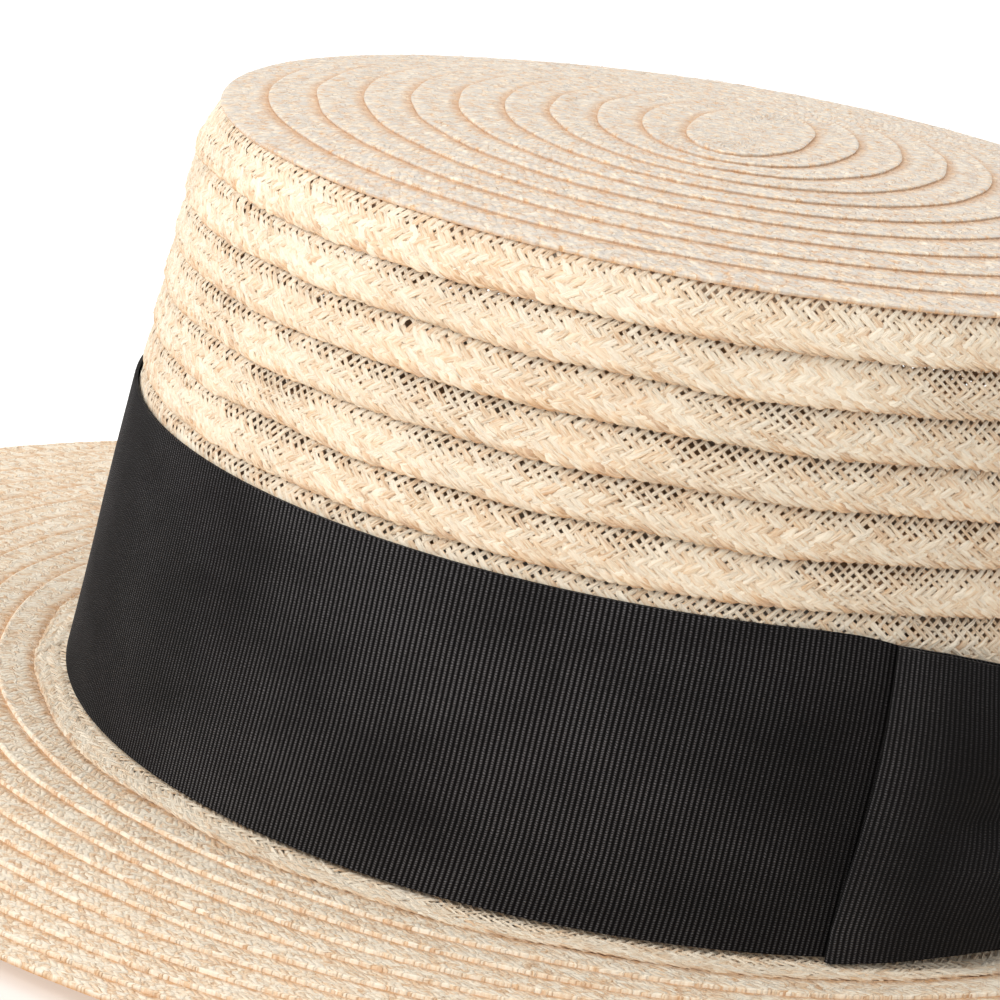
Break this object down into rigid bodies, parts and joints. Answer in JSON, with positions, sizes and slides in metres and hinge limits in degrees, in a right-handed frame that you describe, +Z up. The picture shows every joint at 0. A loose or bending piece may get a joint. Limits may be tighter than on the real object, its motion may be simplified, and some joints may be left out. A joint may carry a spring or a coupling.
{
  "type": "straw boater hat",
  "caption": "Flat-brimmed straw boater sewn from lapped braid rows, with a black ribbed ribbon band and a flat side bow.",
  "frame": {"origin": "on the ground plane under the middle of the brim", "axes": "+Z up through the crown, -Y towards the front of the hat, +X towards the wearer's left, where the bow is"},
  "size_m": [0.2936, 0.3276, 0.0936],
  "materials": {
    "straw": "natural straw braid, matte with a faint fibre sheen",
    "ribbon": "black ribbed ribbon, soft sheen"
  },
  "bodies": {
    "root": {"crown": "straw", "brim": "straw", "hat_band": "ribbon", "bow_loop_front": "ribbon", "bow_loop_rear": "ribbon", "bow_knot": "ribbon"}
  },
  "joints": []
}
